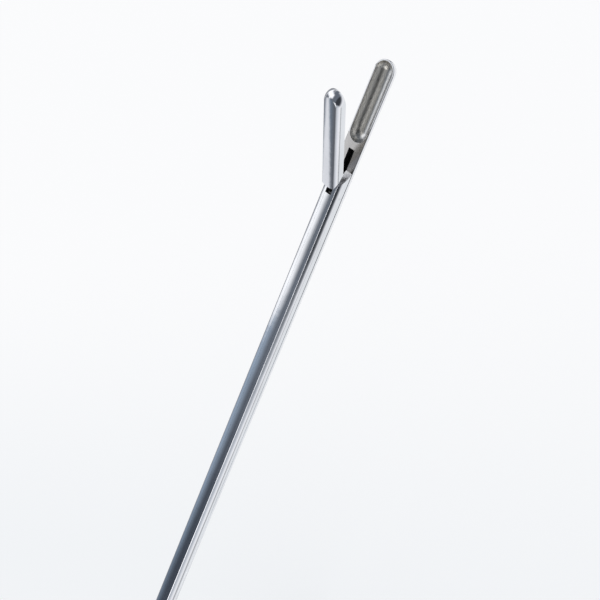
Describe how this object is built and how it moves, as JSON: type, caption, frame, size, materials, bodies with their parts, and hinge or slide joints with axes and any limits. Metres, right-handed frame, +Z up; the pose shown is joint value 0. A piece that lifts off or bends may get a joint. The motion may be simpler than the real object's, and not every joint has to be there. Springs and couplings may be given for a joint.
{
  "type": "biopsy forceps",
  "caption": "Rigid ring-handled biopsy forceps: a slim shaft whose sliding upper half tips one cupped jaw onto a fixed cupped jaw at the tip.",
  "frame": {"origin": "centre of the thumb ring's bore, in the instrument's mid plane", "axes": "+X along the shaft towards the jaws, +Y to the left, along the ring's bore, +Z up, from the rings to the shaft"},
  "size_m": [0.2488, 0.0093, 0.0922],
  "materials": {
    "shaft_steel": "polished stainless steel with a fine lengthwise grain",
    "pin_steel": "ground stainless steel",
    "handle_steel": "satin stainless steel",
    "screw_steel": "turned stainless steel",
    "bushing_bronze": "machined bronze"
  },
  "bodies": {
    "frame": {"rear_handle": "handle_steel", "lower_shaft": "shaft_steel", "jaw_pivot_pin": "pin_steel", "guide_studs": "pin_steel", "shaft_ferrule": "handle_steel", "channel_cover": "handle_steel", "cover_screws": "screw_steel", "pivot_washers": "screw_steel", "handle_pivot_screw": "screw_steel"},
    "lever": {"front_handle": "handle_steel", "lever_pin": "pin_steel", "lever_bushing": "bushing_bronze"},
    "push_rod": {"slider": "shaft_steel", "drive_pin": "pin_steel", "slider_end_block": "handle_steel", "end_block_pin": "pin_steel"},
    "jaw": {"moving_jaw": "shaft_steel"}
  },
  "joints": [
    {"name": "handle_squeeze", "type": "hinge", "parent": "frame", "child": "lever", "pos_m": [0.0434, 0, 0.0542], "axis": [0, 1, 0], "range_deg": [0, 9.12]},
    {"name": "slider_slide", "type": "slide", "parent": "frame", "child": "push_rod", "axis": [1, 0, 0], "range_m": [0, 0.0007]},
    {"name": "jaw_close", "type": "hinge", "parent": "frame", "child": "jaw", "pos_m": [0.21, 0, 0.0573], "axis": [0, 1, 0], "range_deg": [0, 28]}
  ],
  "couplings": [
    {"joint": "slider_slide", "follows": "handle_squeeze", "m_per_rad": 0.0044},
    {"joint": "jaw_close", "follows": "handle_squeeze", "ratio": 3.0718}
  ]
}
